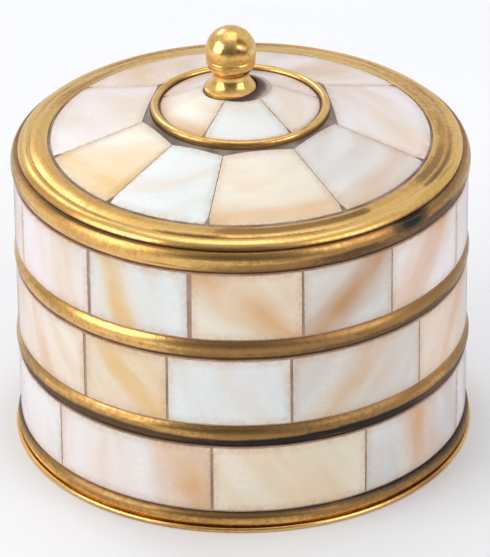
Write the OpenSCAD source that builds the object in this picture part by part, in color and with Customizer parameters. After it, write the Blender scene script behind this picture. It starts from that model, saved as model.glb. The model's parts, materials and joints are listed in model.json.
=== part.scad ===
// Round pill box: a brass wall and lid clad in tiles of mother-of-pearl.
// The origin is the middle of the underside of the foot, and +Z points up.
// Angles of joints are in degrees from the front (-Y), growing towards the right (+X).

/* [Body] */
// Diameter of the foot, the widest part of the box
foot_d = 64.4; // [58:0.2:72]
// How far the faces of the side tiles lie inside the foot's edge
face_inset = 0.7; // [0.5:0.05:1]
// Height of the foot moulding with the base plate
foot_h = 3; // [2.8:0.1:4.5]
// Thickness of the base plate
plate_t = 0.7; // [0.5:0.05:1]
// Height of one row of side tiles
row_h = 10.2; // [7:0.1:13]
// Height of the bead between the lower and the middle row
lower_bead_h = 3.3; // [2.5:0.1:4]
// Height of the bead between the middle and the upper row
upper_bead_h = 3; // [2.5:0.1:4]
// Height of the band round the mouth
band_h = 3.1; // [2.5:0.1:4]
// Thickness of the brass wall
wall_t = 0.9; // [0.7:0.1:1.2]
// How far the half-round beads stand out of the tile faces
bead_proud = 0.35; // [0.2:0.05:0.5]

/* [Tiles] */
// Thickness of a tile
tile_t = 1.4; // [1:0.1:1.8]
// Thickness of the grout behind the tiles
bed_t = 0.4; // [0.2:0.05:0.6]
// Width of the grout line above and below a row of tiles
edge_gap = 0.2; // [0.1:0.05:0.4]
// Depth of the grout lines below the tile faces
grout_recess = 0.12; // [0.05:0.01:0.25]

/* [Lid] */
// How far the rim of the lid lies inside the foot's edge
lid_inset = 1.35; // [1:0.05:1.6]
// Width of the rim of the lid
rim_w = 4.2; // [3.5:0.1:6]
// Height of the rim's inner edge above the mouth
rim_h = 1.5; // [1.3:0.1:2]
// Rise of the outer lid tiles for each millimetre towards the middle
lid_slope = 0.3; // [0.2:0.01:0.4]
// Rise of the inner lid tiles for each millimetre towards the middle
inner_slope = 0.41; // [0.3:0.01:0.45]
// Thickness of the lid's sheet
sheet_t = 0.7; // [0.5:0.1:1]
// Depth of the collar below the mouth
collar_depth = 4.5; // [3:0.5:6]
// Thickness of the collar
collar_t = 0.9; // [0.6:0.1:1.2]
// Gap all round between the collar and the wall
collar_gap = 0.3; // [0.2:0.05:0.5]
// Radius of the middle of the small ring on the lid
ring_mid_r = 11.8; // [11:0.1:13]
// Width of the small ring
ring_w = 1.2; // [1.1:0.1:2]
// Width of the joints between the lid tiles
lid_gap = 0.16; // [0.1:0.02:0.4]

/* [Knob] */
// Diameter of the ball
ball_d = 7; // [6:0.1:8]
// Height of the middle of the ball above the knob's foot
ball_rise = 4.7; // [4.6:0.1:6]
// Diameter of the foot of the knob
knob_foot_d = 7.4; // [7:0.1:8]
// Diameter of the neck
neck_d = 5.5; // [4.5:0.1:6]
// How far the knob sits to the left of the lid's middle
knob_shift = 1.2; // [0:0.1:1.4]
// Diameter of the stud that fastens the knob
stud_d = 2.5; // [2:0.1:3]

/* [Hidden] */
$fn = 96;

// Joints of each row: angle and width. The tiles are cut by hand, so no two are quite alike.
UPPER_JOINTS = [
    [-41, 0.5], [-13, 0.6], [15, 0.3], [40, 0.2], [69, 0.2], [98, 0.3],
    [129, 0.3], [161, 0.4], [193, 0.3], [225, 0.2], [256, 0.3], [288, 0.2]
];
MIDDLE_JOINTS = [
    [-43, 0.4], [-19, 0.3], [12, 0.3], [50, 0.2], [88, 0.3],
    [126, 0.3], [164, 0.4], [202, 0.2], [240, 0.3], [278, 0.2]
];
LOWER_JOINTS = [
    [-53, 0.2], [-8, 0.4], [32, 0.2], [71, 0.3], [111, 0.3],
    [151, 0.2], [190, 0.3], [229, 0.3], [268, 0.3]
];
OUTER_LID_JOINTS = [-125, -77, -43, -10, 32, 72, 124, 180];
INNER_LID_JOINTS = [-105, -28, 39, 101, 178];

function numbered(name, joints) = [for (i = [1:len(joints)]) str(name, i)];

// Radii of the body, from the outside in
foot_r = foot_d / 2;
face_r = foot_r - face_inset;
bed_r = face_r - tile_t;
wall_r = bed_r - bed_t;
mouth_r = wall_r - wall_t;
// The flat sides that the half-round beads stand on
bead_back = 0.35;
bead_r = face_r - bead_back;
// How far two shapes of one outline run into each other
lap = 0.1;

// Heights of the body, from the foot up
lower_row_z = foot_h;
lower_bead_z = lower_row_z + row_h;
middle_row_z = lower_bead_z + lower_bead_h;
upper_bead_z = middle_row_z + row_h;
upper_row_z = upper_bead_z + upper_bead_h;
band_z = upper_row_z + row_h;
mouth_z = band_z + band_h;
// The plain lip at the top of the band
lip_h = 0.3;
lip_out = 0.2;
// The groove under the foot moulding, and the moulding's crown and lower edge
foot_groove_h = 0.15;
foot_groove_depth = 0.7;
foot_crown = 0.5;
foot_edge = 0.5;

// The lid
lid_r = foot_r - lid_inset;
rim_in_r = lid_r - rim_w;
flange_r = lid_r - 0.5;
flange_t = 0.6;
rim_outer_crown = 0.4;
rim_inner_crown = 0.14;
rim_lap = 0.3;
lid_bed_t = 0.3;
sheet_drop = tile_t + lid_bed_t;
collar_r = mouth_r - collar_gap;
ring_in_r = ring_mid_r - ring_w / 2;
ring_out_r = ring_mid_r + ring_w / 2;
ring_crown = 0.6;
tile_out_r = rim_in_r - 0.45;
tile_corner_r = 13.6;
inner_tile_out_r = ring_in_r - 0.2;
inner_tile_in_r = 4.3;
notch_gap = 0.15;
corner_cut = 1.2;
corner_turn = 2.6;

// The knob and its fastening
pad_r = 5.4;
pad_z = lid_top(pad_r) - sheet_drop;
ball_r = ball_d / 2;
knob_foot_r = knob_foot_d / 2;
neck_r = neck_d / 2;
foot_show = 0.7;
foot_top_z = lid_top(knob_foot_r) + foot_show;
neck_z = foot_top_z + 1.95;
belt_z = foot_top_z + 3.5;
ball_z = foot_top_z + ball_rise;
belt_r = ball_r - 0.08;
belt_h = 0.3;
belt_crown = 0.1;
bowl_crown = 0.2;
knob_shoulder = 0.15;
stud_r = stud_d / 2;
stud_gap = 0.1;
washer_t = 0.5;
washer_r = 3.1;
nut_t = 1.8;
nut_flats = 5;
stud_end = 0.6;

brass = [0.80, 0.62, 0.30];
inner_brass = [0.72, 0.58, 0.32];
grout = [0.44, 0.40, 0.36];
white_pearl = [0.91, 0.90, 0.90];
cream_pearl = [0.92, 0.87, 0.77];
peach_pearl = [0.90, 0.80, 0.70];

// Height of the tile faces on the lid at a radius; the inner tiles start at the small ring
function lid_top(r) = mouth_z + rim_h + (rim_in_r - max(r, ring_in_r)) * lid_slope
    + max(0, ring_in_r - r) * inner_slope;

// Radius of the arc over a chord c that stands s high
function arc_r(c, s) = (c * c / 4 + s * s) / (2 * s);

// A point at a radius and at an angle from the front
function polar(r, a) = [r * sin(a), -r * cos(a)];

// Joint i of a row, counted from 1; the joint after the last is the first, one turn on
function joint_angle(joints, i) = i <= len(joints) ? joints[i - 1][0] : joints[0][0] + 360;
function joint_gap(joints, i) = joints[(i - 1) % len(joints)][1];
function turn_angle(angles, i) = i <= len(angles) ? angles[i - 1] : angles[0] + 360;

// Angle that a length covers at a radius
function spread(length, r) = asin(length / r);

// The part of a box between two corners that lies inside a circle. The circle passes
// through p and q, and stands s high over the left of the chord from p to q.
module arc_block(p, q, s, low, high) {
    along = (q - p) / norm(q - p);
    out = [-along.y, along.x];
    r = arc_r(norm(q - p), s);
    intersection() {
        translate((p + q) / 2 + out * (s - r)) circle(r);
        translate(low) square(high - low);
    }
}

// A ring with a half-round outside between two heights
module half_round_ring(low, high, proud) {
    crown = bead_back + proud;
    rotate_extrude() {
        translate([wall_r, low]) square([bead_r - wall_r, high - low]);
        arc_block([bead_r, high], [bead_r, low], crown, [bead_r - lap, low], [foot_r + crown, high]);
    }
}

// ---- Body ----

module base_plate() {
    color(brass) cylinder(h = plate_t, r = foot_r);
}

module wall_tube() {
    color(inner_brass) translate([0, 0, plate_t]) difference() {
        cylinder(h = mouth_z - plate_t, r = wall_r);
        translate([0, 0, -1]) cylinder(h = mouth_z + 2, r = mouth_r);
    }
}

// A quarter-round over a groove, on the edge of the base plate
module foot_moulding() {
    low_z = plate_t + foot_groove_h;
    top = [bead_r, foot_h];
    edge = [foot_r - foot_edge, low_z];
    color(brass) rotate_extrude() {
        translate([wall_r, plate_t])
            square([foot_r - foot_groove_depth - wall_r, foot_groove_h + lap]);
        arc_block(top, edge, foot_crown, [wall_r, low_z], [foot_r + foot_crown, foot_h]);
    }
}

module lower_bead() {
    color(brass) half_round_ring(lower_bead_z, middle_row_z, bead_proud);
}

module upper_bead() {
    color(brass) half_round_ring(upper_bead_z, upper_row_z, bead_proud);
}

module mouth_band() {
    color(brass) {
        half_round_ring(band_z, mouth_z - lip_h, bead_proud);
        translate([0, 0, mouth_z - lip_h]) difference() {
            cylinder(h = lip_h, r = bead_r + lip_out);
            translate([0, 0, -1]) cylinder(h = lip_h + 2, r = wall_r);
        }
    }
}

// One tile of a side row that starts at row_z
module side_tile(joints, i, row_z) {
    from = joint_angle(joints, i) + spread(joint_gap(joints, i) / 2, face_r);
    to = joint_angle(joints, i + 1) - spread(joint_gap(joints, i + 1) / 2, face_r);
    rotate([0, 0, from - 90]) rotate_extrude(angle = to - from)
        translate([bed_r, row_z + edge_gap]) square([tile_t, row_h - 2 * edge_gap]);
}

// The grout behind and between the tiles of one row
module grout_ring(joints, row_z) {
    difference() {
        translate([0, 0, row_z]) cylinder(h = row_h, r = face_r - grout_recess);
        translate([0, 0, row_z - 1]) cylinder(h = row_h + 2, r = wall_r);
        for (i = [1:len(joints)]) side_tile(joints, i, row_z);
    }
}

module side_grout() {
    color(grout) {
        grout_ring(LOWER_JOINTS, lower_row_z);
        grout_ring(MIDDLE_JOINTS, middle_row_z);
        grout_ring(UPPER_JOINTS, upper_row_z);
    }
}

module lower_tile(i) {
    color(white_pearl) side_tile(LOWER_JOINTS, i, lower_row_z);
}

module middle_tile(i) {
    color(cream_pearl) side_tile(MIDDLE_JOINTS, i, middle_row_z);
}

module upper_tile(i) {
    color(peach_pearl) side_tile(UPPER_JOINTS, i, upper_row_z);
}

// ---- Lid ----

// A ring between two radii and two depths below the tile faces
module sloping_ring(in_r, out_r, top_drop, low_drop) {
    rotate_extrude() polygon([
        [in_r, lid_top(in_r) - low_drop], [out_r, lid_top(out_r) - low_drop],
        [out_r, lid_top(out_r) - top_drop], [in_r, lid_top(in_r) - top_drop]
    ]);
}

module lid_sheet() {
    hole_r = stud_r + stud_gap;
    step_r = rim_in_r + sheet_t;
    low_drop = sheet_drop + sheet_t;
    color(inner_brass) difference() {
        rotate_extrude() polygon([
            [flange_r, mouth_z], [flange_r, mouth_z + flange_t],
            [rim_in_r, mouth_z + flange_t], [rim_in_r, lid_top(rim_in_r) - sheet_drop],
            [ring_in_r, lid_top(ring_in_r) - sheet_drop], [pad_r, pad_z], [0, pad_z],
            [0, pad_z - sheet_t], [pad_r, pad_z - sheet_t], [ring_in_r, lid_top(ring_in_r) - low_drop],
            [step_r, lid_top(step_r) - low_drop], [step_r, mouth_z]
        ]);
        translate([-knob_shift, 0, pad_z - 2 * sheet_t]) cylinder(h = 3 * sheet_t, r = hole_r);
    }
}

module lid_collar() {
    color(inner_brass) translate([0, 0, mouth_z - collar_depth]) difference() {
        cylinder(h = collar_depth, r = collar_r);
        translate([0, 0, -1]) cylinder(h = collar_depth + 2, r = collar_r - collar_t);
    }
}

// A wide rim: a quarter-round outside and a gently arched inside, with a crease between them
module lid_rim() {
    edge = [lid_r, mouth_z + 0.15];
    crease = [lid_r - 0.42 * rim_w, mouth_z + 0.73 * rim_h];
    inner = [rim_in_r, mouth_z + rim_h - 0.05];
    color(brass) rotate_extrude() difference() {
        union() {
            arc_block(
                crease, edge, rim_outer_crown,
                [crease.x - rim_lap, mouth_z], [lid_r, mouth_z + 2 * rim_h]
            );
            arc_block(
                inner, crease, rim_inner_crown,
                [rim_in_r, mouth_z], [crease.x + rim_lap, mouth_z + 2 * rim_h]
            );
        }
        translate([rim_in_r - 1, mouth_z - 1]) square([flange_r - rim_in_r + 1, flange_t + 1]);
    }
}

module lid_ring() {
    inner = [ring_in_r, lid_top(ring_in_r)];
    outer = [ring_out_r, lid_top(ring_out_r)];
    shoulder_z = outer.y - lap / 2;
    color(brass) rotate_extrude() {
        polygon([
            inner - [0, sheet_drop], outer - [0, sheet_drop],
            [outer.x, shoulder_z], [inner.x, shoulder_z]
        ]);
        arc_block(inner, outer, ring_crown, [inner.x, outer.y - lap], inner + [ring_w, ring_crown]);
    }
}

// Seen from above, a lid tile between two joints, with its outer corners cut off
module lid_tile_outline(from, to, in_r, out_r) {
    far_r = out_r + 3;
    cut_r = out_r - corner_cut;
    near = spread(lid_gap / 2, in_r);
    mid = spread(lid_gap / 2, cut_r);
    polygon([
        polar(in_r, from + near), polar(cut_r, from + mid), polar(far_r, from + mid + corner_turn),
        polar(far_r / cos((to - from) / 2), (from + to) / 2),
        polar(far_r, to - mid - corner_turn), polar(cut_r, to - mid), polar(in_r, to - near)
    ]);
}

module outer_lid_tile(i) {
    from = turn_angle(OUTER_LID_JOINTS, i);
    to = turn_angle(OUTER_LID_JOINTS, i + 1);
    // The straight inner edge stays clear of the small ring
    clear_r = (ring_out_r + edge_gap) / cos((to - from) / 2);
    color(white_pearl) intersection() {
        sloping_ring(ring_out_r, tile_out_r, 0, tile_t);
        translate([0, 0, mouth_z - 5]) linear_extrude(20)
            lid_tile_outline(from, to, max(tile_corner_r, clear_r), tile_out_r);
    }
}

module inner_lid_tile(i) {
    from = turn_angle(INNER_LID_JOINTS, i);
    to = turn_angle(INNER_LID_JOINTS, i + 1);
    color(cream_pearl) difference() {
        intersection() {
            sloping_ring(inner_tile_in_r, inner_tile_out_r, 0, tile_t);
            translate([0, 0, mouth_z]) linear_extrude(20)
                lid_tile_outline(from, to, inner_tile_in_r / 2, inner_tile_out_r);
        }
        // The knob's foot stands in a notch of the tiles on its side
        translate([-knob_shift, 0, mouth_z]) cylinder(h = 20, r = knob_foot_r + notch_gap);
    }
}

// The filling inside the small ring, over the flat middle of the sheet and round the knob's foot
module middle_filling() {
    rotate_extrude() polygon([
        [0, pad_z], [pad_r, pad_z], [ring_in_r, lid_top(ring_in_r) - sheet_drop],
        [ring_in_r, lid_top(ring_in_r) - grout_recess], [0, lid_top(0) - grout_recess]
    ]);
}

module lid_grout() {
    color(grout) difference() {
        union() {
            sloping_ring(ring_out_r, rim_in_r, grout_recess, sheet_drop);
            middle_filling();
        }
        translate([-knob_shift, 0, 0]) cylinder(h = 2 * mouth_z, r = knob_foot_r);
        for (i = [1:len(OUTER_LID_JOINTS)]) outer_lid_tile(i);
        for (i = [1:len(INNER_LID_JOINTS)]) inner_lid_tile(i);
    }
}

// ---- Knob ----

// The turned outline: foot, hollow flare, neck, bowl, belt and ball
module knob_section() {
    flare = neck_z - foot_top_z;
    hollow = knob_foot_r - knob_shoulder - neck_r;
    hollow_r = arc_r(2 * flare, hollow);
    belt_top_z = belt_z + belt_h;
    stud_low = pad_z - sheet_t - washer_t - nut_t - stud_end;
    translate([0, pad_z]) square([knob_foot_r, foot_top_z - pad_z]);
    difference() {
        translate([0, foot_top_z]) square([knob_foot_r, flare]);
        translate([neck_r + hollow_r, neck_z]) circle(hollow_r);
    }
    arc_block([belt_r, belt_z], [neck_r, neck_z], bowl_crown, [0, neck_z], [ball_r, belt_z]);
    translate([0, belt_z]) square([belt_r, belt_h]);
    arc_block(
        [belt_r, belt_top_z], [belt_r, belt_z], belt_crown,
        [belt_r - belt_crown, belt_z], [belt_r + belt_crown, belt_top_z]
    );
    intersection() {
        translate([0, ball_z]) circle(ball_r);
        translate([0, ball_z - ball_r]) square(2 * ball_r);
    }
    translate([0, stud_low]) square([stud_r, pad_z - stud_low]);
}

module knob() {
    color(brass) translate([-knob_shift, 0, 0]) rotate_extrude() knob_section();
}

module knob_washer() {
    color(brass) translate([-knob_shift, 0, pad_z - sheet_t - washer_t]) difference() {
        cylinder(h = washer_t, r = washer_r);
        translate([0, 0, -1]) cylinder(h = washer_t + 2, r = stud_r + stud_gap);
    }
}

module knob_nut() {
    color(inner_brass) translate([-knob_shift, 0, pad_z - sheet_t - washer_t - nut_t]) difference() {
        cylinder(h = nut_t, r = nut_flats / 2 / cos(30), $fn = 6);
        translate([0, 0, -1]) cylinder(h = nut_t + 2, r = stud_r);
    }
}

base_plate();
wall_tube();
foot_moulding();
lower_bead();
upper_bead();
mouth_band();
side_grout();
lid_sheet();
lid_collar();
lid_rim();
lid_ring();
lid_grout();
knob();
knob_washer();
knob_nut();
for (i = [1:len(LOWER_JOINTS)])
    lower_tile(i);
for (i = [1:len(MIDDLE_JOINTS)])
    middle_tile(i);
for (i = [1:len(UPPER_JOINTS)])
    upper_tile(i);
for (i = [1:len(OUTER_LID_JOINTS)])
    outer_lid_tile(i);
for (i = [1:len(INNER_LID_JOINTS)])
    inner_lid_tile(i);
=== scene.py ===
"""A round brass pill box clad in mother-of-pearl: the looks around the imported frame."""

import json
import math

import bmesh
import bpy
import numpy as np
from mathutils import Matrix, Vector, noise


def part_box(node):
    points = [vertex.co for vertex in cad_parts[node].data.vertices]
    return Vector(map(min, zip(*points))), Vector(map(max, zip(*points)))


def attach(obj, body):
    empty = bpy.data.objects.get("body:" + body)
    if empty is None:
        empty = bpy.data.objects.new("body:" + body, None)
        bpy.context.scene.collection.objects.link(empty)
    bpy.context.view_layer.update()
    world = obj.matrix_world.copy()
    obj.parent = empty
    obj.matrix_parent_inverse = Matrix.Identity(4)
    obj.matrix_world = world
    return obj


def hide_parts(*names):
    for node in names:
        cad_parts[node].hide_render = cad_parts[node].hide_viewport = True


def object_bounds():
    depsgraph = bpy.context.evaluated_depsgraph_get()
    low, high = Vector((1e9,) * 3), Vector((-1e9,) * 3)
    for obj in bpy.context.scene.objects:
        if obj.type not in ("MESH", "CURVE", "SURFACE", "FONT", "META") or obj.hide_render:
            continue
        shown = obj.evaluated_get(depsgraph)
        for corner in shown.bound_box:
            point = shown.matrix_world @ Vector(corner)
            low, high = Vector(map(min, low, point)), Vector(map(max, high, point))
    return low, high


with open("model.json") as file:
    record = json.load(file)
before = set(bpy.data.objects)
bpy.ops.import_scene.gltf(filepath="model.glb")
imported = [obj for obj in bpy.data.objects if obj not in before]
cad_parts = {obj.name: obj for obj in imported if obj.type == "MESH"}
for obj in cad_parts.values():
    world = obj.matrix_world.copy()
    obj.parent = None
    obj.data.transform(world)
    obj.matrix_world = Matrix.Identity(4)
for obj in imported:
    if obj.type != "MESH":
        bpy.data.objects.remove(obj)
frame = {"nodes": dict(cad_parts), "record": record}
cad_low, cad_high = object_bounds()

MM = 0.001
FULL_TURN = 2 * math.pi


def srgb(red, green, blue):
    """A colour as a screen shows it, 0 to 255, as the linear colour that a shader takes."""
    shown = np.array([red, green, blue]) / 255
    linear = np.where(shown <= 0.04045, shown / 12.92, ((shown + 0.055) / 1.055) ** 2.4)
    return (*linear, 1.0)


# ---- Camera, floor and lights ----

CAMERA_ELEVATION = math.radians(28.89)
CAMERA_DISTANCE = 0.7001
CAMERA_ROLL = -0.0108
LENS = 323.2
AIM_RIGHT = 0.42 * MM
AIM_SHARE_UP = 0.36  # of the box's height
ROOM_DARK_TO_BRIGHT = (0.15, 0.85)
ROOM_BRIGHT_SIDE = (0.0, 0.8, 0.6)  # behind and over the box
ROOM_BLEND = 0.7


def make_camera():
    height = cad_high.z - cad_low.z
    aim = Vector((AIM_RIGHT, 0, cad_low.z + AIM_SHARE_UP * height))
    back = Vector((0, -math.cos(CAMERA_ELEVATION), math.sin(CAMERA_ELEVATION)))
    camera = bpy.data.objects.new("camera", bpy.data.cameras.new("camera"))
    bpy.context.scene.collection.objects.link(camera)
    camera.data.lens = LENS
    camera.data.clip_start, camera.data.clip_end = 0.05, 20
    turn = Matrix.Rotation(math.pi / 2 - CAMERA_ELEVATION, 4, "X") @ Matrix.Rotation(CAMERA_ROLL, 4, "Z")
    camera.matrix_world = Matrix.Translation(aim + back * CAMERA_DISTANCE) @ turn
    bpy.context.scene.camera = camera


def softbox(name, place, size, power, tint):
    """A square area light that faces the middle of the box."""
    data = bpy.data.lights.new(name, "AREA")
    data.shape, data.size, data.energy, data.color = "SQUARE", size, power, tint
    light = bpy.data.objects.new(name, data)
    bpy.context.scene.collection.objects.link(light)
    light.location = place
    middle = (cad_low + cad_high) / 2
    light.rotation_mode = "QUATERNION"
    light.rotation_quaternion = (middle - light.location).to_track_quat("-Z", "Y")


def make_lights():
    """A broad window on the left, a soft ceiling and a weak fill; the room is darker behind the camera."""
    softbox("window_light", (-0.9, -0.4, 0.45), 0.75, 6.4, (1.0, 0.985, 0.965))
    softbox("ceiling_light", (0.0, 0.1, 1.2), 0.9, 2.6, (0.97, 0.985, 1.0))
    softbox("back_window", (-0.55, 0.85, 0.85), 0.45, 2.0, (1.0, 0.99, 0.97))
    softbox("right_fill", (0.9, -0.6, 0.5), 0.7, 4.7, (1.0, 0.985, 0.97))
    world = bpy.data.worlds.new("studio")
    bpy.context.scene.world = world
    world.use_nodes = True
    tree = world.node_tree
    background = tree.nodes["Background"]
    background.inputs["Color"].default_value = (0.955, 0.975, 1.0, 1.0)
    place = tree.nodes.new("ShaderNodeTexCoord")
    towards = tree.nodes.new("ShaderNodeVectorMath")
    towards.operation = "DOT_PRODUCT"
    towards.inputs[1].default_value = ROOM_BRIGHT_SIDE
    share = tree.nodes.new("ShaderNodeMapRange")
    share.interpolation_type = "SMOOTHSTEP"
    ends = (-ROOM_BLEND, ROOM_BLEND, *ROOM_DARK_TO_BRIGHT)
    for socket, value in zip(("From Min", "From Max", "To Min", "To Max"), ends):
        share.inputs[socket].default_value = value
    tree.links.new(place.outputs["Generated"], towards.inputs[0])
    tree.links.new(towards.outputs["Value"], share.inputs["Value"])
    tree.links.new(share.outputs["Result"], background.inputs["Strength"])


# ---- Material graphs ----


class Graph:
    """A new node material, with short calls to add nodes to it."""

    def __init__(self, name):
        self.material = bpy.data.materials.new(name)
        self.material.use_nodes = True
        self.tree = self.material.node_tree
        self.shader = self.tree.nodes["Principled BSDF"]

    def add(self, kind, inputs=(), **settings):
        """Adds a node. Inputs are pairs of a socket's name or number and a value or another socket."""
        made = self.tree.nodes.new("ShaderNode" + kind)
        for name, value in settings.items():
            setattr(made, name, value)
        for socket, value in dict(inputs).items():
            self.put(made.inputs[socket], value)
        return made

    def put(self, socket, value):
        if isinstance(value, bpy.types.NodeSocket):
            self.tree.links.new(value, socket)
        else:
            socket.default_value = value

    def set(self, **inputs):
        """Sets sockets of the shader; base_color stands for Base Color."""
        for name, value in inputs.items():
            words = name.replace("_", " ").title().replace("Ior", "IOR")
            self.put(self.shader.inputs[words], value)

    def math(self, operation, a, b=0.0, clamp=False):
        return self.add("Math", {0: a, 1: b}, operation=operation, use_clamp=clamp).outputs[0]

    def vector(self, operation, a, b=(0, 0, 0)):
        made = self.add("VectorMath", {0: a, 1: b}, operation=operation)
        return made.outputs["Value" if operation in ("LENGTH", "DOT_PRODUCT") else "Vector"]

    def scaled(self, a, scale):
        return self.add("VectorMath", {0: a, "Scale": scale}, operation="SCALE").outputs["Vector"]

    def attribute(self, name, output="Vector"):
        return self.add("Attribute", attribute_name=name).outputs[output]

    def noise(self, at, scale, detail=3.0, roughness=0.55, output="Fac"):
        inputs = {"Vector": at, "Scale": scale, "Detail": detail, "Roughness": roughness}
        return self.add("TexNoise", inputs).outputs[output]

    def spread(self, value, low, high, to_low=0.0, to_high=1.0):
        """Maps low..high smoothly to to_low..to_high."""
        inputs = {0: value, 1: low, 2: high, 3: to_low, 4: to_high}
        return self.add("MapRange", inputs, interpolation_type="SMOOTHSTEP").outputs[0]

    def mix(self, share, a, b, blend="MIX"):
        inputs = {0: share, 6: a, 7: b}
        return self.add("Mix", inputs, data_type="RGBA", blend_type=blend).outputs[2]

    def bump(self, height, distance, strength=1.0):
        self.set(normal=self.add(
            "Bump", {"Height": height, "Distance": distance, "Strength": strength}
        ).outputs["Normal"])

    def object_mm(self):
        """The place on the piece in millimetres; it stays with the piece when it moves."""
        return self.scaled(self.add("TexCoord").outputs["Object"], 1 / MM)


def turned(graph, at, along, across, detail=4.0):
    """Noise in rings round the Z axis: long round the axis and fine across, as a lathe leaves."""
    flat = graph.vector("MULTIPLY", at, (1, 1, 0))
    radius = graph.vector("LENGTH", flat)
    round_axis = graph.scaled(graph.vector("NORMALIZE", flat), along)
    height = graph.vector("MULTIPLY", at, (0, 0, across))
    place = graph.vector("ADD", round_axis, height)
    inputs = {"Vector": place, "W": graph.math("MULTIPLY", radius, across), "Scale": 1.0, "Detail": detail}
    return graph.add("TexNoise", inputs, noise_dimensions="4D").outputs["Fac"]


# How tarnish and painted shade darken brass: the grime-and-shade value where a tone starts, the value where
# it is full, and the tone. The darkest tones are mostly painted shade and dark reflection.
TARNISH_AND_SHADE_TONES = (
    (0.12, 0.55, (0.34, 0.185, 0.065, 1)),
    (0.55, 1.0, (0.12, 0.075, 0.04, 1)),
    (1.0, 1.4, (0.03, 0.027, 0.026, 1)),
)


def polished_brass():
    """Old brass, polished on the proud parts and brown where dirt stays. Its grime attribute also paints
    shade and dark reflections into the colour.
    """
    g = Graph("brass")
    at = g.object_mm()
    mop_lines = turned(g, at, 4.0, 2.6)
    broad = turned(g, at, 1.6, 0.5, 3.0)
    specks = g.noise(at, 1.5, 3.0, 0.65)
    grime = g.attribute("grime", "Fac")
    uneven = g.math("ADD", g.math("MULTIPLY", broad, 0.7), g.math("MULTIPLY", specks, 0.3))
    dull = g.math("ADD", g.spread(uneven, 0.42, 0.64), grime, clamp=True)
    clean = g.mix(g.spread(mop_lines, 0.3, 0.7), (0.78, 0.47, 0.135, 1), (0.86, 0.58, 0.22, 1))
    shade = g.mix(g.math("MULTIPLY", dull, 0.7), clean, (0.60, 0.30, 0.075, 1))
    reach = g.math("ADD", grime, g.math("MULTIPLY", g.math("SUBTRACT", uneven, 0.5), 1.6))
    for start, end, tone in TARNISH_AND_SHADE_TONES:
        shade = g.mix(g.spread(reach, start, end), shade, tone)
    streaks = g.spread(turned(g, at, 2.4, 1.7, 2.0), 0.6, 0.74, 0.0, 0.75)
    g.set(base_color=g.mix(streaks, shade, (0.30, 0.135, 0.05, 1)), metallic=1.0)
    worn = g.math("ADD", g.math("MULTIPLY", dull, 0.14), g.math("MULTIPLY", mop_lines, 0.14))
    g.set(roughness=g.math("ADD", worn, g.spread(reach, 0.3, 1.0, 0.13, 0.3)))
    height = g.math("ADD", g.math("MULTIPLY", mop_lines, 0.5), g.math("MULTIPLY", specks, 0.5))
    g.bump(height, 0.02 * MM, 0.6)
    return g.material


def inner_brass():
    """Satin brass inside, as it left the lathe, with a few stains."""
    g = Graph("inner_brass")
    at = g.object_mm()
    cuts = turned(g, at, 2.0, 5.0, 3.0)
    stains = g.noise(at, 0.11, 5.0, 0.62)
    base = g.mix(g.spread(cuts, 0.3, 0.7), (0.60, 0.43, 0.18, 1), (0.74, 0.56, 0.27, 1))
    g.set(base_color=g.mix(g.spread(stains, 0.5, 0.7, 0.0, 0.6), base, (0.34, 0.22, 0.10, 1)), metallic=1.0)
    g.set(roughness=g.math("ADD", g.math("MULTIPLY", stains, 0.25), 0.22))
    g.bump(cuts, 0.03 * MM, 0.5)
    return g.material


def grout_material(name, dark, light, knob_x=None):
    """Filling of resin and dust, cloudy and grainy. Round a knob it carries a painted shadow, near black at
    the foot and fading out through a pale ring.
    """
    g = Graph(name)
    at = g.object_mm()
    clouds = g.noise(at, 0.22, 4.0, 0.6)
    grains = g.noise(at, 5.0, 2.0, 0.6)
    base = g.mix(g.spread(clouds, 0.35, 0.65), dark, light)
    base = g.mix(g.spread(grains, 0.4, 0.75, 0.0, 0.5), base, srgb(112, 84, 66))
    if knob_x is not None:
        # painted shadow of the knob: near black at its foot, then a pale ring, fading into the grout
        flat = g.vector("MULTIPLY", g.vector("SUBTRACT", at, (knob_x / MM, 0, 0)), (1, 1, 0))
        from_knob = g.math("ADD", g.vector("LENGTH", flat), g.math("MULTIPLY", clouds, 0.8))
        base = g.mix(g.spread(from_knob, 4.3, 5.3, 1.0, 0.0), base, srgb(58, 46, 40))
        shadow_fade = g.mix(g.spread(from_knob, 7.5, 6.5, 0.0, 0.8), base, srgb(196, 180, 164))
        base = g.mix(g.spread(from_knob, 5.6, 4.9), shadow_fade, base)
    g.set(base_color=base)
    g.set(roughness=g.spread(grains, 0.3, 0.7, 0.55, 0.85))
    g.bump(grains, 0.04 * MM, 0.7)
    return g.material


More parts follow.
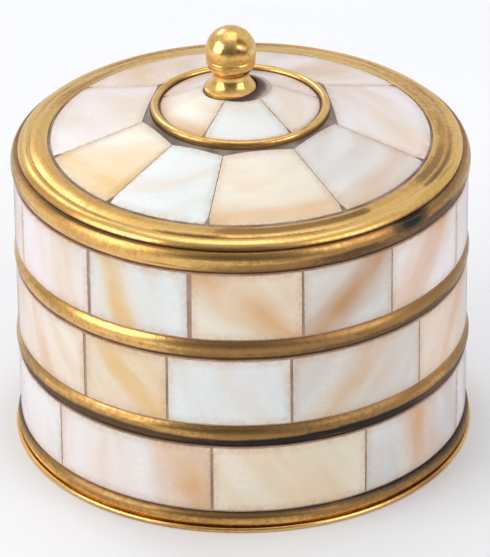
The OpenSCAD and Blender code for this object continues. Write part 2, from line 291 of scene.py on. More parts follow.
def pearl_material(slot):
    """Mother-of-pearl. Each tile's own colours and its coloured vein are attributes of its mesh."""
    g = Graph(slot)
    at = g.attribute("tile_at")
    line = g.attribute("vein_line")
    size = g.add("SeparateXYZ", {0: g.attribute("vein_size")})
    offset, sharpness, strength = size.outputs
    warp = g.noise(at, 0.09, 1.5, 0.4, "Color")
    warp = g.vector("MULTIPLY", g.vector("SUBTRACT", warp, (0.5, 0.5, 0.5)), (5, 5, 0))
    bent = g.vector("ADD", at, warp)
    across = g.vector("DOT_PRODUCT", bent, line)
    along = g.vector("DOT_PRODUCT", bent, g.vector("CROSS_PRODUCT", (0, 0, 1), line))
    seed = g.add("SeparateXYZ", {0: at}).outputs[2]
    layers_at = g.add("CombineXYZ", {
        0: g.math("MULTIPLY", across, 0.3), 1: g.math("MULTIPLY", along, 0.08), 2: seed
    }).outputs[0]
    layers = g.noise(layers_at, 1.0, 2.0, 0.45)
    clouds = g.noise(at, 0.12, 2.0, 0.5)
    fine = g.noise(at, 1.6, 3.0, 0.6)

    distance = g.math("MULTIPLY", g.math("SUBTRACT", across, offset), sharpness)
    band = g.math("EXPONENT", g.math("MULTIPLY", g.math("MULTIPLY", distance, distance), -1.0))
    mottle = g.math("ADD", g.math("MULTIPLY", layers, 0.5), g.math("MULTIPLY", clouds, 0.5))
    patchy = g.spread(mottle, 0.34, 0.62, 0.5, 1.0)
    vein = g.math("MULTIPLY", g.math("MULTIPLY", band, patchy), strength, clamp=True)

    lustre = g.add("ValToRGB", {0: g.spread(clouds, 0.3, 0.7)})
    ramp = lustre.color_ramp
    ramp.elements[0].color, ramp.elements[1].color = (1.0, 0.94, 0.93, 1), (0.94, 0.98, 1.0, 1)
    ramp.elements.new(0.5).color = (1.0, 1.0, 1.0, 1)
    base = g.mix(0.8, g.attribute("tile_tone", "Color"), lustre.outputs["Color"], "MULTIPLY")
    layered = g.mix(g.spread(layers, 0.45, 0.8, 0.0, 0.3), base, g.attribute("vein_tone", "Color"))
    milky = g.mix(g.spread(layers, 0.55, 0.25, 0.0, 0.35), layered, srgb(238, 236, 234))
    veined = g.mix(vein, milky, g.attribute("vein_tone", "Color"))
    dirt = g.math("MULTIPLY", g.attribute("edge", "Fac"), g.spread(fine, 0.35, 0.65, 0.25, 0.75))
    g.set(base_color=g.mix(dirt, veined, srgb(186, 146, 112)))
    gloss = g.math("ADD", g.math("MULTIPLY", layers, 0.5), g.math("MULTIPLY", fine, 0.5))
    g.set(roughness=g.spread(gloss, 0.3, 0.7, 0.24, 0.44))
    g.set(ior=1.53, coat_weight=0.25, coat_roughness=0.15)
    g.set(thin_film_thickness=420.0, thin_film_ior=1.4)
    height = g.math("ADD", g.math("MULTIPLY", layers, 0.6), g.math("MULTIPLY", fine, 0.4))
    g.bump(height, 0.05 * MM, 0.3)
    return g.material


def floor_material():
    g = Graph("studio_floor")
    clouds = g.noise(g.object_mm(), 0.01, 4.0, 0.6)
    g.set(base_color=g.mix(clouds, srgb(229, 229, 231), srgb(235, 235, 237)))
    g.set(roughness=0.7)
    return g.material


# ---- Reading the frame ----


SAME_PLACE = 0.004 * MM


def rest_points(node):
    return np.array([v.co for v in frame["nodes"][node].data.vertices])


def radii(points):
    return np.hypot(points[:, 0], points[:, 1])


def outer_r(node, at_z=None):
    """The node's largest radius round the Z axis, over its whole height or at one height."""
    points = rest_points(node)
    if at_z is not None:
        points = points[np.abs(points[:, 2] - at_z) < SAME_PLACE]
    return radii(points).max()


def heights(node):
    low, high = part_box(node)
    return low.z, high.z


# ---- Turned brass ----


def arc(p, q, rise, steps=14):
    """Points from p to q on an arc that stands rise over the left of the chord."""
    p, q = np.array(p), np.array(q)
    half = np.linalg.norm(q - p) / 2
    along = (q - p) / (2 * half)
    out = np.array([-along[1], along[0]])
    radius = (half * half + rise * rise) / (2 * rise)
    centre = (p + q) / 2 + out * (rise - radius)
    swing = math.asin(min(1.0, half / radius))
    if rise > half:
        swing = math.pi - swing
    turns = np.linspace(-swing, swing, steps + 1)
    return [tuple(centre + radius * (along * math.sin(a) + out * math.cos(a))) for a in turns]


def soften(points, size, closed=True):
    """Rounds the corners of an outline over a short length on each side."""
    rounded, count = [], len(points)
    for i, point in enumerate(points):
        here = np.array(point)
        before, after = np.array(points[i - 1]), np.array(points[(i + 1) % count])
        sides = [(before - here), (after - here)]
        lengths = [np.linalg.norm(s) for s in sides]
        at_end = not closed and i in (0, count - 1)
        if at_end or min(lengths) < 1e-9:
            rounded.append(tuple(here))
            continue
        cosine = float(np.dot(sides[0], sides[1]) / (lengths[0] * lengths[1]))
        if cosine < -0.86:
            rounded.append(tuple(here))
            continue
        reach = [min(size, 0.45 * length) / length for length in lengths]
        start, end = here + sides[0] * reach[0], here + sides[1] * reach[1]
        for t in (0, 1 / 3, 2 / 3, 1):
            rounded.append(tuple((1 - t) ** 2 * start + 2 * t * (1 - t) * here + t * t * end))
    return rounded


def wobble(angles, seed, size, lowest=2, highest=7):
    """A slow hand-made waver round a ring, from -size to size."""
    draw = np.random.default_rng(seed)
    total = np.zeros_like(angles)
    for order in range(lowest, highest):
        total += draw.normal() / order * np.sin(order * angles + draw.uniform(0, FULL_TURN))
    return size * total / np.abs(total).max()


def turned_piece(name, outline, grime_and_shade_of, seed, waver, axis=(0.0, 0.0), segments=288):
    """Turns an outline of (radius, height) points round an upright axis.
    grime_and_shade_of gives the grime and painted shade of one such point at every angle. An outline
    whose ends lie on the axis is closed there by a point; any other one is a closed ring."""
    poles = outline[0][0] < 1e-7
    rings = outline[1:-1] if poles else outline
    angles = np.linspace(0, FULL_TURN, segments, endpoint=False)
    inward = wobble(angles, seed, waver) - waver
    lift = wobble(angles, seed + 1, waver * 0.6)
    points, grime = [], []
    for radius, height in rings:
        for a, dr, dz in zip(angles, inward, lift):
            x, y = (radius + dr) * math.sin(a), (radius + dr) * math.cos(a)
            points.append((axis[0] + x, axis[1] - y, height + dz))
        grime += list(grime_and_shade_of(radius, height, angles) + 0 * angles)
    faces, count = [], len(rings)
    for i in range(count - 1 if poles else count):
        a, b = i * segments, (i + 1) % count * segments
        for k in range(segments):
            n = (k + 1) % segments
            faces.append((a + k, b + k, b + n, a + n))
    if poles:
        for ring, pole in ((0, outline[0]), (count - 1, outline[-1])):
            points.append((axis[0], axis[1], pole[1]))
            grime.append(float(np.mean(grime_and_shade_of(*pole, angles))))
            for k in range(segments):
                a, b = ring * segments + k, ring * segments + (k + 1) % segments
                faces.append((len(points) - 1, a, b) if ring == 0 else (len(points) - 1, b, a))
    return new_piece(name, points, faces, {"grime": ("FLOAT", grime)})


def new_piece(name, points, faces, attributes):
    mesh = bpy.data.meshes.new(name)
    mesh.from_pydata([tuple(p) for p in points], [], faces)
    for attribute_name, (kind, values) in attributes.items():
        made = mesh.attributes.new(attribute_name, kind, "POINT")
        field = {"FLOAT": "value", "FLOAT_VECTOR": "vector", "FLOAT_COLOR": "color"}[kind]
        made.data.foreach_set(field, np.array(values, np.float32).ravel())
    mesh.update()
    fix_normals(mesh)
    mesh.shade_smooth()
    piece = bpy.data.objects.new(name, mesh)
    bpy.context.scene.collection.objects.link(piece)
    return piece


def fix_normals(mesh):
    work = bmesh.new()
    work.from_mesh(mesh)
    bmesh.ops.recalc_face_normals(work, faces=work.faces)
    work.to_mesh(mesh)
    work.free()


def install(piece, material, body, node):
    """The piece takes the place of a CAD node on its body."""
    piece.data.materials.append(material)
    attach(piece, body)
    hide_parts(node)


# Tarnish and painted dark reflection by angle from the front in degrees: light on the front left, where the
# window's highlight falls, and dark round the right, which stands in for the dark room reflected there.
TARNISH_AND_REFLECTION = (
    (-180, 0.6), (-100, 0.75), (-76, 0.6), (-58, 0.2), (-22, 0.2), (-5, 0.7), (20, 0.9), (60, 1.0),
    (100, 0.9),
)


def tarnish_and_reflection_side(angles):
    turns, shares = np.array(TARNISH_AND_REFLECTION).T
    return np.interp(np.degrees(angles), turns, shares, period=360)


LOW_EDGE_SHADE = 0.8


def bead_shade_and_tarnish(low, high, reach, seed, upper, lower, cut=0.6, least=0.0, top_edge=0.8):
    """Painted shade along both edges of a bead, and tarnish with painted dark reflection in patches,
    darkest under its middle.
    """

    def grime_and_shade_of(radius, height, angles):
        at_low, at_high = math.exp(-abs(height - low) / reach), math.exp(-abs(height - high) / reach)
        # painted shade where the bead meets the tiles above and below
        edges = max(LOW_EDGE_SHADE * at_low, top_edge * at_high)
        level = (height - low) / (high - low)
        border = cut + wobble(angles, seed, 0.08, 2, 9) + wobble(angles, seed + 2, 0.03, 20, 60)
        under = np.clip((border - level) / 0.09, 0, 1)
        patches = 0.82 + 0.18 * wobble(angles, seed + 1, 1.0, 3, 14)
        side = least + (1 - least) * tarnish_and_reflection_side(angles)
        # tarnish, with painted dark reflection in the dark lower part
        tarnish_and_dark_reflection = (upper + (lower - upper) * under) * side * patches
        return np.maximum(edges, tarnish_and_dark_reflection)

    return grime_and_shade_of


# For each bead: a seed, the tarnish and painted dark reflection of its upper and lower part, the share of
# the lower part and the least tarnish and reflection anywhere round it.
BEAD_TARNISH_AND_REFLECTION = ((1, "lower_bead", 0.75, 1.9, 0.5, 0.62), (2, "upper_bead", 0.75, 1.05, 0.5, 0.15))
BAND_STAIN_AT, BAND_STAIN_WIDTH, BAND_STAIN = 47, 8, 1.5  # degrees, degrees, grime


CORNER = 0.06 * MM  # the length over which the rings' corners are rounded
FOOT_GROOVE = 0.15 * MM
FOOT_CROWN = 0.5 * MM


def make_beads(brass):
    wall_r = outer_r("wall_tube")
    for seed, node, upper, lower, cut, least in BEAD_TARNISH_AND_REFLECTION:
        low, high = heights(node)
        back_r, crown_r = outer_r(node, low), outer_r(node)
        round_side = arc((back_r, high), (back_r, low), crown_r - back_r, 20)
        outline = soften([(wall_r, low), (wall_r, high), *round_side], CORNER)
        grime_and_shade_of = bead_shade_and_tarnish(low, high, 0.2 * MM, 40 + 3 * seed, upper, lower, cut, least)
        piece = turned_piece(node + "_ring", outline, grime_and_shade_of, seed, 0.09 * MM)
        install(piece, brass, "box", node)


def make_mouth_band(brass):
    wall_r = outer_r("wall_tube")
    low, high = heights("mouth_band")
    back_r, crown_r, lip_r = outer_r("mouth_band", low), outer_r("mouth_band"), outer_r("mouth_band", high)
    round_side = arc((lip_r, high), (back_r, low), crown_r - (lip_r + back_r) / 2, 20)
    outline = soften([(wall_r, low), (wall_r, high), *round_side], CORNER)
    # painted shade along its edges and tarnish with painted dark reflection, as on the beads
    edged = bead_shade_and_tarnish(low, high, 0.16 * MM, 50, 0.62, 1.05, top_edge=0.6)

    def band_shade_and_stain(radius, height, angles):
        level = (height - low) / (high - low)
        stain = BAND_STAIN * np.exp(-((np.degrees(angles) - BAND_STAIN_AT) / BAND_STAIN_WIDTH) ** 2)
        return np.maximum(edged(radius, height, angles), stain * np.clip(level * 1.4, 0, 1))

    piece = turned_piece("mouth_band_ring", outline, band_shade_and_stain, 5, 0.05 * MM)
    install(piece, brass, "box", "mouth_band")


def make_foot(brass):
    wall_r = outer_r("wall_tube")
    plate_z, foot_z = heights("foot_moulding")
    groove_z = plate_z + FOOT_GROOVE
    groove_r, top_r = outer_r("foot_moulding", plate_z), outer_r("foot_moulding", foot_z)
    edge_r = outer_r("foot_moulding", groove_z)
    round_side = arc((top_r, foot_z), (edge_r, groove_z), FOOT_CROWN, 18)
    outline = [(wall_r, plate_z), (wall_r, foot_z), *round_side, (groove_r, groove_z), (groove_r, plate_z)]

    def foot_shade_and_reflection(radius, height, angles):
        # painted dark reflection under the tiles and painted shade in the groove, darker round the right as
        # on the beads
        under_tiles = 1.5 * math.exp(-abs(height - foot_z) / (1.1 * MM))
        in_groove = 0.9 * math.exp(-abs(height - groove_z) / (0.2 * MM))
        return max(under_tiles, in_groove) * (0.6 + 0.4 * tarnish_and_reflection_side(angles))

    piece = turned_piece("foot_moulding_ring", soften(outline, CORNER), foot_shade_and_reflection, 7, 0.07 * MM)
    install(piece, brass, "box", "foot_moulding")


EDGE_INSET = 0.02 * MM  # keeps the round disc inside the CAD's box
ROUND_EDGE_OF_BASE = 0.2 * MM


def make_base(brass):
    low, high = heights("base_plate")
    edge_r = outer_r("base_plate") - EDGE_INSET
    flat_r = edge_r - ROUND_EDGE_OF_BASE
    outline = [(0, high), (flat_r, high), *arc((flat_r, high), (flat_r, low), ROUND_EDGE_OF_BASE, 10)]
    outline += [(edge_r * k, low) for k in (0.95, 0.75, 0.5, 0.25)] + [(0, low)]
    piece = turned_piece("base_disc", outline, lambda radius, height, angles: 0.15, 9, 0.0)
    install(piece, brass, "box", "base_plate")


RING_CROWN = 0.6 * MM
# The rim's painted dark reflection by angle from the front in degrees: on its inner zone, and a dark streak
# along its crease.
RIM_REFLECTION_AND_STREAK = (
    (-180, 0.35, 0.4), (-110, 0.25, 0.3), (-60, 0.1, 0.2), (-26, 0.15, 0.25), (-20, 0.25, 1.3),
    (-8, 0.45, 1.2), (-4, 0.8, 0.5), (30, 0.95, 0.5), (37, 0.85, 0.3), (39, 0.08, 0.1), (58, 0.15, 0.3),
    (63, 0.55, 0.9), (78, 0.5, 0.8), (86, 0.2, 0.3), (120, 0.3, 0.3),
)
# The rim's inner zone of painted dark reflection: its middle from the rim's inner edge, and half its width.
RIM_ZONE_AT, RIM_ZONE_HALF = 1.1 * MM, 0.75 * MM
# The crease between the rim's two curves, as shares of its width and height, and the curves' crowns.
CREASE_IN, CREASE_UP = 0.42, 0.73
INNER_CROWN, OUTER_CROWN = 0.14 * MM, 0.4 * MM
RIM_SIDE_H = 0.15 * MM


def make_lid_rim(brass):
    low, _ = heights("lid_rim")
    points = rest_points("lid_rim")
    around = radii(points)
    edge_r, inner_r = around.max(), around.min()
    flange_r = around[points[:, 2] < low + SAME_PLACE].min()
    at_inner = points[around < inner_r + SAME_PLACE][:, 2]
    flange_z, inner_z = at_inner.min(), at_inner.max()
    width, rise = edge_r - inner_r, inner_z + 0.05 * MM - low
    edge, inner = (edge_r, low + RIM_SIDE_H), (inner_r, inner_z)
    crease = (edge_r - CREASE_IN * width, low + CREASE_UP * rise)
    outline = [(flange_r, flange_z), (inner_r, flange_z), *arc(inner, crease, INNER_CROWN, 14)]
    outline += [*arc(crease, edge, OUTER_CROWN, 16)[1:], (edge_r, low), (flange_r, low)]

    def rim_reflection_and_shade(radius, height, angles):
        turns, inner_shares, crease_shares = np.array(RIM_REFLECTION_AND_STREAK).T
        inner_share = np.interp(np.degrees(angles), turns, inner_shares, period=360)
        crease_share = np.interp(np.degrees(angles), turns, crease_shares, period=360)
        inner_zone = inner_share * math.exp(-((radius - inner_r - RIM_ZONE_AT) / RIM_ZONE_HALF) ** 4)
        at_crease = crease_share * math.exp(-((radius - crease[0]) / (0.4 * MM)) ** 2)
        # painted shade along the seam under the rim's outer edge
        edge_line = 0.9 * math.exp(-abs(radius - edge_r) / (0.06 * MM))
        patches = 0.8 + 0.2 * wobble(angles, 51, 1.0, 2, 16)
        return np.maximum(inner_zone, at_crease) * patches + edge_line

    piece = turned_piece("lid_rim_ring", soften(outline, CORNER), rim_reflection_and_shade, 11, 0.08 * MM)
    install(piece, brass, "lid", "lid_rim")


def make_lid_ring(brass):
    points = rest_points("lid_ring")
    around = radii(points)
    in_r, out_r = around.min(), around.max()
    in_z = points[around < in_r + SAME_PLACE][:, 2]
    out_z = points[around > out_r - SAME_PLACE][:, 2]
    crown = arc((in_r, in_z.max()), (out_r, out_z.max()), RING_CROWN, 18)
    outline = [(in_r, in_z.min()), *crown, (out_r, out_z.min())]

    def ring_edge_shade(radius, height, angles):
        # painted shade where the ring meets the tiles on both sides
        return 0.7 * math.exp(-min(abs(radius - in_r), abs(radius - out_r)) / (0.1 * MM))

    piece = turned_piece("lid_small_ring", soften(outline, CORNER), ring_edge_shade, 13, 0.06 * MM)
    install(piece, brass, "lid", "lid_ring")


# The painted dark reflections on the ball: degrees from the front, the rise over its middle, and their
# depth.
KNOB_DARK_REFLECTIONS = ((26, 2.4 * MM, 1.0), (40, 2.0 * MM, 0.8), (19, 1.3 * MM, 1.1), (34, 1.0 * MM, 0.9))
SPOT_HALF_WIDTH, SPOT_HALF_HEIGHT = 10, 0.45 * MM  # degrees and metres
KNOB_POLISH = 0.15  # by which the whole knob is cleaner than the rings
BALL_R = 3.5 * MM
# How far the parts of the knob lie under the middle of its ball.
BELT_TOP, BELT_MIDDLE, BELT_LOW, NECK, FLARE_END = 0.9 * MM, 1.05 * MM, 1.2 * MM, 3.15 * MM, 5.35 * MM
BELT_INSET, BELT_STEP, BELT_RIDGE = 0.08 * MM, 0.03 * MM, 0.04 * MM
NECK_R = 2.4 * MM
ROLL_CROWN = 0.3 * MM


def make_knob(brass):
    low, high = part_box("knob")
    points = rest_points("knob")
    axis_x = (low.x + high.x) / 2
    foot_r = (high.x - low.x) / 2
    around = np.hypot(points[:, 0] - axis_x, points[:, 1])
    stud_r = around[points[:, 2] < low.z + 0.01 * MM].max()
    pad_z = points[(around > foot_r - 0.01 * MM)][:, 2].min()
    ball_z = high.z - BALL_R
    belt_top, belt_low = ball_z - BELT_TOP, ball_z - BELT_LOW
    neck_z, foot_z = ball_z - NECK, ball_z - FLARE_END
    belt_r, shoulder_r = BALL_R - BELT_INSET, foot_r - 0.05 * MM
    ball_edge = math.asin(BELT_TOP / BALL_R)
    outline = [(0, high.z)]
    outline += [
        (BALL_R * math.cos(t), ball_z + BALL_R * math.sin(t))
        for t in np.linspace(math.pi / 2, -ball_edge, 34)[1:]
    ]
    ridge = (belt_r + BELT_RIDGE, ball_z - BELT_MIDDLE)
    outline += [(belt_r - BELT_STEP, belt_top), ridge, (belt_r, belt_low)]
    outline += arc((belt_r - BELT_STEP, belt_low), (NECK_R, neck_z), ROLL_CROWN, 10)
    hollow = shoulder_r - NECK_R
    flare = foot_z - neck_z
    hollow_r = (flare * flare + hollow * hollow) / (2 * hollow)
    outline += [
        (NECK_R + hollow_r - math.sqrt(hollow_r ** 2 - (neck_z - z) ** 2), z)
        for z in np.linspace(neck_z, foot_z, 12)[1:]
    ]
    outline += [(foot_r, foot_z), (foot_r, pad_z), (stud_r, pad_z), (stud_r, low.z), (0, low.z)]

    def knob_reflections_and_darkening(radius, height, angles):
        at_neck = 0.45 * math.exp(-abs(height - neck_z) / (0.35 * MM))
        at_belt = 0.45 * math.exp(-abs(height - belt_low) / (0.3 * MM))
        at_foot = 0.7 * math.exp(-max(0.0, height - foot_z + 0.4 * MM) / (0.2 * MM))
        # painted dark reflections on the ball's right side, and darker at the neck, belt and foot
        dark_reflections = 0 * angles
        for degrees, rise, depth in KNOB_DARK_REFLECTIONS:
            aside = (np.degrees(angles) - degrees) / SPOT_HALF_WIDTH
            above = (height - ball_z - rise) / SPOT_HALF_HEIGHT
            dark_reflections = dark_reflections + depth * np.exp(-aside ** 2 - above ** 2)
        return np.maximum(dark_reflections, max(at_neck, at_belt, at_foot)) - KNOB_POLISH

    outline = soften(outline, CORNER, False)
    piece = turned_piece("knob_turning", outline, knob_reflections_and_darkening, 15, 0.0, (axis_x, 0.0), 128)
    install(piece, brass, "lid", "knob")


# ---- Mother-of-pearl tiles ----

ROUND_EDGE = 0.1 * MM
EDGE_STEPS = (0, 0.08, 0.28, 0.6, 1)
TIGHTER = 0.045 * MM  # by which the tiles reach into the joints
UPRIGHT = 0.1
SAME_ANGLE = 0.001


def tick_rule(count):
    """Places along a side as shares (of the rounded edge, of the rest): close together at both ends."""
    low = [(step, 0.0) for step in EDGE_STEPS]
    middle = [(1.0, k / count) for k in range(1, count)]
    high = [(2.0 - step, 1.0) for step in reversed(EDGE_STEPS)]
    return np.array(low + middle + high).T


def patch(left, right, near, far, reach, columns, rows):
    """A grid over a tile. Its sides are left and right, angles that depend on t; its ends are near and far,
    lengths that depend on the angle. reach turns an angle into a length. Returns angles, lengths and the
    distance from the nearest side and from the nearest end."""
    across, rest_across = tick_rule(columns)
    along, rest_along = tick_rule(rows)
    start = (left(near(0.0)) + right(near(0.0))) / 2
    angle = np.full((rows + 9, columns + 9), start)
    length = near(angle)
    for _ in range(6):
        width = (right(length) - left(length)) * reach(length)
        side = ROUND_EDGE * across + (width - 2 * ROUND_EDGE) * rest_across
        angle = left(length) + side / reach(length)
        extent = far(angle) - near(angle)
        end = ROUND_EDGE * along[:, None] + (extent - 2 * ROUND_EDGE) * rest_along[:, None]
        length = near(angle) + end
    return angle, length, np.minimum(side, width - side), np.minimum(end, extent - end)


def slab(name, grid, place, thickness, look, seed):
    """A tile with rounded edges over a grid. place gives the point at an angle, a length and a depth."""
    angle, length, from_side, from_end = grid
    rows, columns = angle.shape
    over = np.clip(ROUND_EDGE - from_side, 0, None) ** 2 + np.clip(ROUND_EDGE - from_end, 0, None) ** 2
    depth = ROUND_EDGE - np.sqrt(np.clip(ROUND_EDGE ** 2 - over, 0, None))
    flat_at = np.stack([(angle - angle.mean()) * look["reach"], length - length.mean()], -1) / MM
    uneven = np.array([
        [noise.noise(Vector((s * 0.22, t * 0.22, seed * 3.7))) for s, t in row] for row in flat_at
    ])
    depth = depth + 0.025 * MM * (1 + uneven)
    top = place(angle, length, depth).reshape(-1, 3)
    bottom = place(angle, length, np.full_like(depth, thickness)).reshape(-1, 3)
    count = rows * columns
    index = np.arange(count).reshape(rows, columns)
    quads = np.stack([index[:-1, :-1], index[:-1, 1:], index[1:, 1:], index[1:, :-1]], -1).reshape(-1, 4)
    faces = quads.tolist() + (quads[:, ::-1] + count).tolist()
    border = [*index[0, :], *index[1:, -1], *index[-1, -2::-1], *index[-2:0:-1, 0]]
    for a, b in zip(border, border[1:] + border[:1]):
        faces.append((int(b), int(a), int(a) + count, int(b) + count))
    edge = np.exp(-np.minimum(from_side, from_end) / (0.22 * MM)).ravel()
    at = np.concatenate([flat_at, np.full((rows, columns, 1), seed * 7.3)], -1).reshape(-1, 3)
    turn = math.radians(look["vein_angle"])
    both = lambda values: np.concatenate([values, values])
    same = lambda value: np.tile(np.array(value, float), (2 * count, 1))
    return new_piece(name, np.concatenate([top, bottom]), faces, {
        "edge": ("FLOAT", both(edge)),
        "tile_at": ("FLOAT_VECTOR", both(at)),
        "tile_tone": ("FLOAT_COLOR", same(look["tone"])),
        "vein_tone": ("FLOAT_COLOR", same(look["vein"])),
        "vein_line": ("FLOAT_VECTOR", same((math.cos(turn), math.sin(turn), 0))),
        "vein_size": ("FLOAT_VECTOR", same((look["vein_at"], 1 / look["vein_width"], look["strength"]))),
    })


def side_tile(node, look, seed):
    """A tile of the wall: a piece of a cylinder."""
    points = rest_points(node)
    middle = points[:, :2].mean(0)
    facing = math.atan2(middle[0], -middle[1])
    turned_to = np.arctan2(points[:, 0], -points[:, 1]) - facing
    turned_to = (turned_to + math.pi) % FULL_TURN - math.pi
    first, last = facing + turned_to.min(), facing + turned_to.max()
    face_r, back_r = radii(points).max(), radii(points).min()
    low, high = heights(node)
    draw = np.random.default_rng(seed)
    slant = draw.uniform(0, 0.09 * MM / face_r, 4)
    share = lambda z: (z - low) / (high - low)
    left = lambda z: first - TIGHTER / face_r + slant[0] * share(z) + slant[1] * (1 - share(z))
    right = lambda z: last + TIGHTER / face_r - slant[2] * share(z) - slant[3] * (1 - share(z))
    grid = patch(
        left, right, lambda a: low + 0 * a, lambda a: high + 0 * a, lambda z: face_r + 0 * z,
        max(6, round((last - first) * face_r / (1.1 * MM))), 8,
    )

    def place(a, z, depth):
        r = face_r - depth
        return np.stack([r * np.sin(a), -r * np.cos(a), z], -1)

    return slab(node + "_pearl", grid, place, face_r - back_r, {**look, "reach": face_r}, seed)


def inner_boundary(node, turned_to, around):
    """The points along a lid tile's upright inner face, as angles and radii in order of the angle."""
    mesh, inside = frame["nodes"][node].data, set()
    for face in mesh.polygons:
        towards = face.center.xy.normalized()
        if abs(face.normal.z) < UPRIGHT and face.normal.xy.dot(towards) < -0.5:
            inside.update(face.vertices)
    inside = sorted(inside, key=lambda k: turned_to[k])
    chosen = [
        k for n, k in enumerate(inside)
        if n == 0 or turned_to[k] > turned_to[inside[n - 1]] + SAME_ANGLE
    ]
    return turned_to[chosen], around[chosen]


def lid_tile(node, look, seed):
    """A tile of the lid: a piece of a cone, with straight joints and cut corners."""
    points = rest_points(node)
    middle = points[:, :2].mean(0)
    facing = math.atan2(middle[0], -middle[1])
    turned_to = (np.arctan2(points[:, 0], -points[:, 1]) - facing + math.pi) % FULL_TURN - math.pi
    around = radii(points)
    in_r, out_r = around.min(), around.max()
    at_in, at_out = around < in_r + 0.01 * MM, around > out_r - 0.01 * MM
    edge_at, edge_r = inner_boundary(node, turned_to, around)
    edge_x, edge_y = edge_r * np.cos(edge_at), edge_r * np.sin(edge_at)
    cut_r = around[turned_to > turned_to.max() - 1e-4].max()
    left_stops, right_stops = [edge_r[0], cut_r, out_r], [edge_r[-1], cut_r, out_r]
    lefts = [edge_at[0], turned_to.min(), turned_to[at_out].min()] - TIGHTER / np.array(left_stops)
    rights = [edge_at[-1], turned_to.max(), turned_to[at_out].max()] + TIGHTER / np.array(right_stops)

    def near(a):
        """Where the ray at an angle crosses the inner edge, a line of short straight pieces."""
        a = np.clip(a - facing, edge_at[0], edge_at[-1])
        i = np.clip(np.searchsorted(edge_at, a) - 1, 0, len(edge_at) - 2)
        dx, dy = edge_x[i + 1] - edge_x[i], edge_y[i + 1] - edge_y[i]
        return (edge_x[i] * dy - edge_y[i] * dx) / (np.cos(a) * dy - np.sin(a) * dx)

    in_top, out_top = points[at_in][:, 2].max(), points[at_out][:, 2].max()
    thickness = in_top - points[at_in][:, 2].min()
    columns = max(8, round((rights[0] - lefts[0]) * (in_r + out_r) / 2 / (1.1 * MM)))
    left = lambda r: facing + np.interp(r, left_stops, lefts)
    right = lambda r: facing + np.interp(r, right_stops, rights)
    grid = patch(left, right, near, lambda a: out_r + 0 * a, lambda r: r, columns, 10)

    def place(a, r, depth):
        top = in_top + (out_top - in_top) * (r - in_r) / (out_r - in_r)
        return np.stack([r * np.sin(a), -r * np.cos(a), top - depth], -1)

    return slab(node + "_pearl", grid, place, thickness, {**look, "reach": (in_r + out_r) / 2}, seed)


WHITE, COOL, PINK = srgb(232, 229, 229), srgb(226, 228, 231), srgb(234, 222, 219)
CREAM, PEACH, GREY = srgb(234, 220, 203), srgb(230, 208, 185), srgb(214, 206, 203)
ORANGE, BROWN, GOLD = srgb(214, 160, 104), srgb(190, 132, 82), srgb(222, 180, 120)
AMBER = srgb(226, 176, 96)


def look(tone, vein, strength, vein_angle, vein_at, vein_width):
    return {
        "tone": tone, "vein": vein, "strength": strength,
        "vein_angle": vein_angle, "vein_at": vein_at, "vein_width": vein_width,
    }


# The tiles that have a look of their own: tone, vein colour and strength, and the vein's direction
# in degrees, its place and its width in millimetres, from the tile's middle.
LOOKS = {
    "upper_tile_12": look(PINK, GOLD, 0.45, 10, 3, 4),
    "upper_tile_1": look(COOL, AMBER, 0.9, 14, -3.1, 2.3),
    "upper_tile_2": look(CREAM, ORANGE, 0.8, 48, 0.5, 2.6),
    "upper_tile_3": look(GREY, BROWN, 0.9, -40, 0, 2.5),
    "upper_tile_4": look(PINK, ORANGE, 0.9, -35, -0.5, 2.6),
    "upper_tile_5": look(PINK, GOLD, 0.2, 60, 0, 4),
    "middle_tile_10": look(CREAM, ORANGE, 0.5, 30, 0, 3),
    "middle_tile_1": look(PEACH, AMBER, 0.6, 36, 1.0, 4.6),
    "middle_tile_2": look(COOL, GOLD, 0.05, 20, 0, 4),
    "middle_tile_3": look(GREY, ORANGE, 0.6, -35, -1, 3.0),
    "middle_tile_4": look(PEACH, ORANGE, 0.5, -30, 0, 4),
    "lower_tile_9": look(WHITE, GOLD, 0.15, 30, 0, 4),
    "lower_tile_1": look(PINK, ORANGE, 1.0, 5, 8.6, 3.0),
    "lower_tile_2": look(CREAM, GOLD, 0.3, 30, 0, 6),
    "lower_tile_3": look(GREY, ORANGE, 1.0, 12, -0.5, 3.0),
    "lower_tile_4": look(PINK, GOLD, 0.3, 20, 0, 4),
    "outer_lid_tile_1": look(PINK, GOLD, 0.25, 40, 0, 4),
    "outer_lid_tile_2": look(CREAM, AMBER, 1.0, 62, 3.8, 4.4),
    "outer_lid_tile_3": look(COOL, GOLD, 0.15, 60, 0, 4),
    "outer_lid_tile_4": look(CREAM, ORANGE, 0.7, 88, 6, 2.4),
    "outer_lid_tile_5": look(GREY, ORANGE, 0.5, 70, 4.5, 3),
    "outer_lid_tile_6": look(PINK, GOLD, 0.3, 60, 0, 4),
    "inner_lid_tile_1": look(CREAM, ORANGE, 0.75, 88, 2.6, 1.6),
    "inner_lid_tile_2": look(COOL, GOLD, 0.05, 90, 0, 3),
    "inner_lid_tile_3": look(PINK, GOLD, 0.4, 60, 0, 3),
}


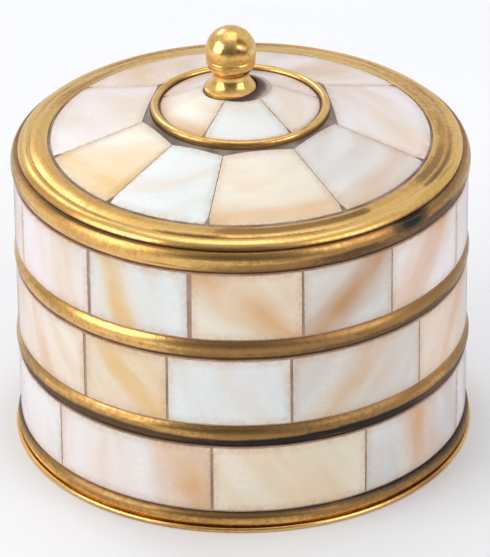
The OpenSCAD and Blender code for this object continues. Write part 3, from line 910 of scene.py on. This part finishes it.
def other_look(seed):
    """A look for a tile that has none of its own."""
    draw = np.random.default_rng(seed)
    tones, veins = [WHITE, PINK, CREAM, COOL, PINK, PEACH], [GOLD, ORANGE, GOLD, ORANGE, BROWN, GOLD]
    pick = int(draw.integers(len(tones)))
    return look(
        tones[pick], veins[int(draw.integers(len(veins)))], float(draw.uniform(0.15, 0.65)),
        float(draw.uniform(-60, 60)), float(draw.uniform(-4, 4)), float(draw.uniform(1.8, 4)),
    )


def make_tiles():
    slots = {row["node"]: row["material_slot"] for row in frame["record"]["subparts"]}
    pearls = {slot: pearl_material(slot) for slot in ("pearl_white", "pearl_cream", "pearl_peach")}
    tiles = sorted(n for n in frame["nodes"] if "_tile_" in n)
    for seed, node in enumerate(tiles, 101):
        make, body = (lid_tile, "lid") if "_lid_" in node else (side_tile, "box")
        piece = make(node, LOOKS.get(node) or other_look(seed), seed)
        install(piece, pearls[slots[node]], body, node)


# ---- Pieces that keep their CAD shape ----


def finish_cad_nodes():
    inside = inner_brass()
    knob_low, knob_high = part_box("knob")
    knob_x = (knob_low.x + knob_high.x) / 2
    plain = {name: inside for name in ("wall_tube", "lid_sheet", "lid_collar", "knob_washer", "knob_nut")}
    plain["side_grout"] = grout_material("side_grout_filling", srgb(160, 122, 102), srgb(186, 154, 132))
    plain["lid_grout"] = grout_material("lid_grout_filling", srgb(100, 84, 76), srgb(146, 130, 118), knob_x)
    for name, material in plain.items():
        node = frame["nodes"][name]
        node.data.materials.clear()
        node.data.materials.append(material)


def make_floor():
    half, z = 3.0, cad_low.z - 0.01 * MM  # just under the box, so that no two faces coincide
    corners = [(-half, -half, z), (half, -half, z), (half, half, z), (-half, half, z)]
    floor = new_piece("studio_floor", corners, [(0, 1, 2, 3)], {})
    floor.data.materials.append(floor_material())


make_camera()
make_lights()
make_floor()
polished = polished_brass()
make_beads(polished)
make_mouth_band(polished)
make_foot(polished)
make_base(polished)
make_lid_rim(polished)
make_lid_ring(polished)
make_knob(polished)
make_tiles()
finish_cad_nodes()
bpy.context.scene.view_settings.view_transform = "Standard"
